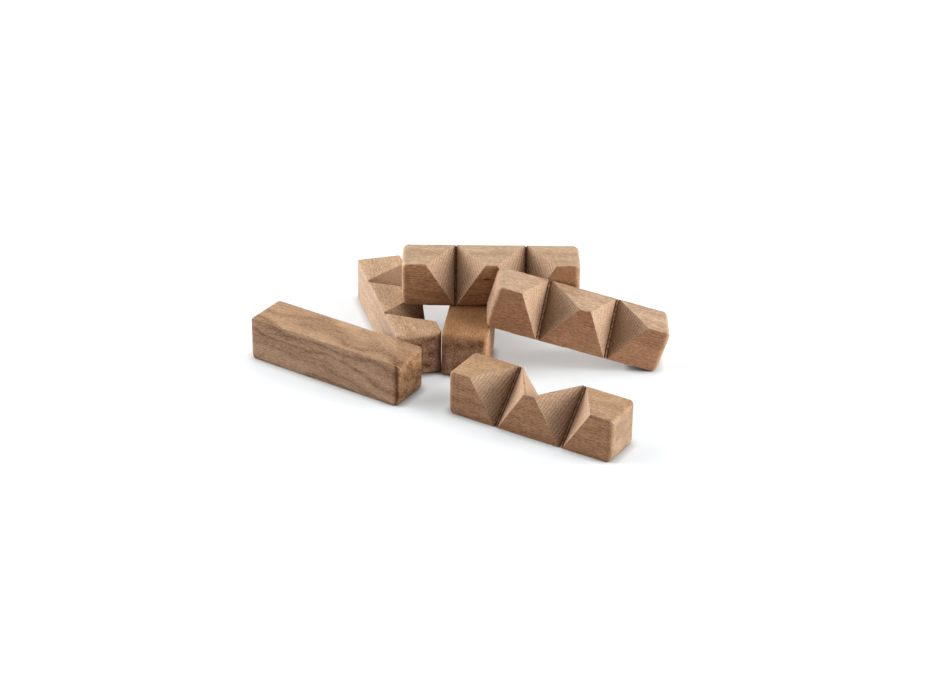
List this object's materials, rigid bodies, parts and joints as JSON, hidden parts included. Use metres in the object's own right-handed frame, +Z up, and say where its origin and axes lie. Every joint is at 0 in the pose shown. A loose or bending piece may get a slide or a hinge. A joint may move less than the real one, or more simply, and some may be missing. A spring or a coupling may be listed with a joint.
{
  "type": "six-piece diagonal burr puzzle",
  "caption": "Diagonal burr puzzle taken apart: square wooden sticks with V notches cut corner to corner and one plain key stick, lying in a loose pile.",
  "frame": {"origin": "middle of the pile's footprint, on the table surface that the sticks lie on", "axes": "+Z up, +X along the pile's longer side with the plain key stick towards -X, +Y away from the notched front stick"},
  "size_m": [0.1818, 0.1474, 0.0403],
  "materials": {
    "middle_wood": "smooth sanded hardwood, unvarnished",
    "left_wood": "smooth sanded hardwood, unvarnished",
    "key_wood": "smooth sanded hardwood, unvarnished",
    "front_wood": "smooth sanded hardwood, unvarnished",
    "top_wood": "smooth sanded hardwood, unvarnished",
    "leaning_wood": "smooth sanded hardwood, unvarnished"
  },
  "bodies": {
    "middle_stick": {"middle_three_notch_stick": "middle_wood"},
    "left_stick": {"left_two_notch_stick": "left_wood"},
    "key": {"key_stick": "key_wood"},
    "front_stick": {"front_three_notch_stick": "front_wood"},
    "top_stick": {"top_two_notch_stick": "top_wood"},
    "leaning_stick": {"leaning_two_notch_stick": "leaning_wood"}
  },
  "joints": [
    {"name": "top_stick_lift", "type": "slide", "parent": "middle_stick", "child": "top_stick", "axis": [0, 0, 1], "range_m": [0, 0.06]},
    {"name": "leaning_stick_lift", "type": "slide", "parent": "middle_stick", "child": "leaning_stick", "axis": [0, 0, 1], "range_m": [0, 0.06]},
    {"name": "left_stick_slide", "type": "slide", "parent": "middle_stick", "child": "left_stick", "axis": [-0.2714, 0.9625, 0], "range_m": [0, 0.06]},
    {"name": "key_slide", "type": "slide", "parent": "middle_stick", "child": "key", "axis": [-0.8443, 0.5358, 0], "range_m": [0, 0.078]},
    {"name": "front_stick_slide", "type": "slide", "parent": "middle_stick", "child": "front_stick", "axis": [0.8599, -0.5105, 0], "range_m": [0, 0.06]}
  ]
}
